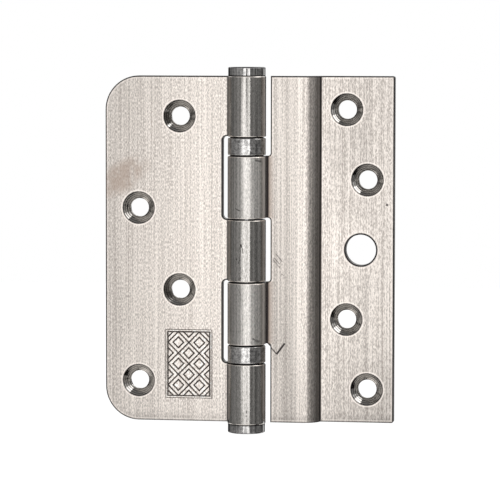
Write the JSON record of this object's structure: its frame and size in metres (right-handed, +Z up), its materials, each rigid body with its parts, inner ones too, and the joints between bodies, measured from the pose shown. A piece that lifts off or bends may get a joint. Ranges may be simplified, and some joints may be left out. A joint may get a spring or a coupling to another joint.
{
  "type": "composite door hinge",
  "caption": "Stainless ball-bearing butt hinge for a composite door, with one flat rounded leaf and one cranked leaf.",
  "frame": {"origin": "centre of the plain locating hole in the frame leaf, at mid-height, on the leaf's back face that lies against the frame", "axes": "+Z up along the pin line, +Y out of the back faces into the frame and door, +X from the door leaf towards the frame leaf"},
  "size_m": [0.085, 0.0152, 0.1068],
  "materials": {
    "brushed_leaf": "brushed stainless steel, grain along the pin",
    "ground_steel": "ground stainless steel",
    "turned_tip": "turned and polished stainless steel",
    "polished_casing": "polished stainless steel",
    "hardened_race": "hardened and ground steel",
    "brass_cage": "pressed brass",
    "bearing_ball": "polished bearing steel"
  },
  "bodies": {
    "frame_side": {"frame_leaf": "brushed_leaf", "upper_bearing_casing": "polished_casing", "upper_frame_race": "hardened_race", "lower_bearing_casing": "polished_casing", "lower_frame_race": "hardened_race"},
    "door_side": {"door_leaf": "brushed_leaf", "hinge_pin": "ground_steel", "top_tip": "turned_tip", "bottom_tip": "turned_tip", "upper_door_race": "hardened_race", "lower_door_race": "hardened_race"},
    "upper_ball_set": {"upper_ball_cage": "brass_cage", "upper_balls": "bearing_ball"},
    "lower_ball_set": {"lower_ball_cage": "brass_cage", "lower_balls": "bearing_ball"}
  },
  "joints": [
    {"name": "door_swing", "type": "hinge", "parent": "frame_side", "child": "door_side", "pos_m": [-0.0327, -0.0096, 0], "axis": [0, 0, 1], "range_deg": [-90, 180]},
    {"name": "upper_ball_roll", "type": "hinge", "parent": "frame_side", "child": "upper_ball_set", "pos_m": [-0.0327, -0.0096, 0], "axis": [0, 0, 1], "range_deg": [-45, 90]},
    {"name": "lower_ball_roll", "type": "hinge", "parent": "frame_side", "child": "lower_ball_set", "pos_m": [-0.0327, -0.0096, 0], "axis": [0, 0, 1], "range_deg": [-45, 90]}
  ],
  "couplings": [
    {"joint": "upper_ball_roll", "follows": "door_swing", "ratio": 0.5},
    {"joint": "lower_ball_roll", "follows": "door_swing", "ratio": 0.5}
  ]
}
